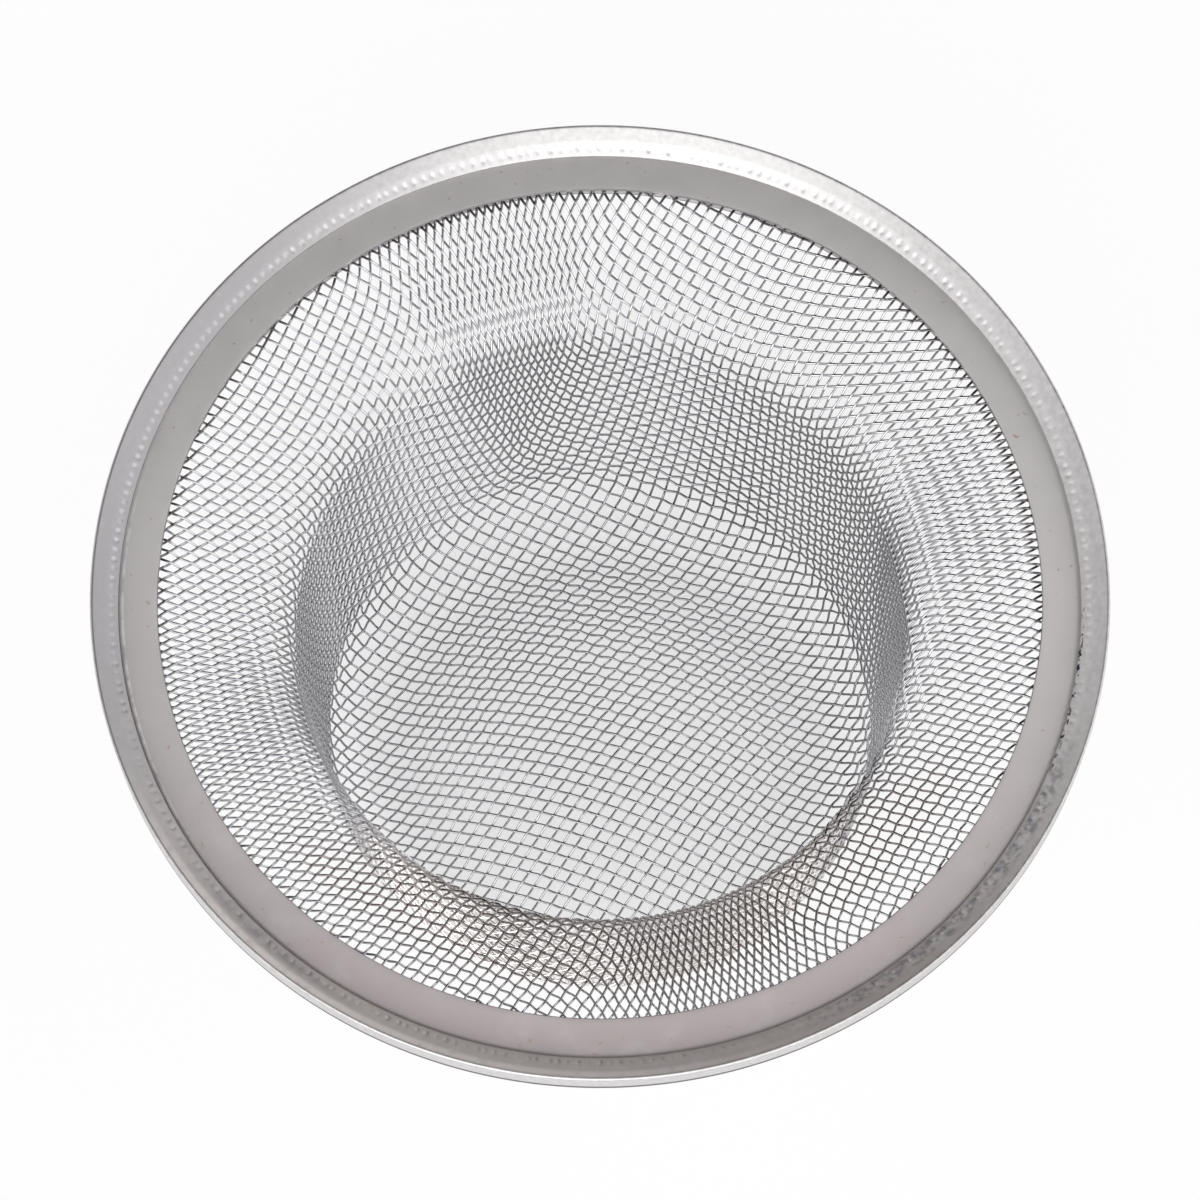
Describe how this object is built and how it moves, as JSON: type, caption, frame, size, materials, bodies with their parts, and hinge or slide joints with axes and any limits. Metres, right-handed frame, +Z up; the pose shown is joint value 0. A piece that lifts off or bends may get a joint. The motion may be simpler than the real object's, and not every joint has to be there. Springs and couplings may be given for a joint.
{
  "type": "sink strainer basket",
  "caption": "Round wire-cloth basket with a domed bottom and a broad sloping brim, crimped in a flat sheet-steel rim that rests in a sink drain and catches food scraps.",
  "frame": {"origin": "on the basket's axis, at the height of the rounded foot that the basket stands on", "axes": "+Z up along the axis, from the domed bottom towards the open mouth; the part is round, so X and Y are equal"},
  "size_m": [0.1138, 0.1138, 0.0505],
  "materials": {
    "dull_sheet_steel": "satin",
    "bright_sheet_steel": "semi-bright, pressed",
    "steel_wire_cloth": "bright drawn wire, plain weave"
  },
  "bodies": {
    "root": {"upper_ring": "dull_sheet_steel", "lower_ring": "bright_sheet_steel", "mesh_basket": "steel_wire_cloth"}
  },
  "joints": []
}
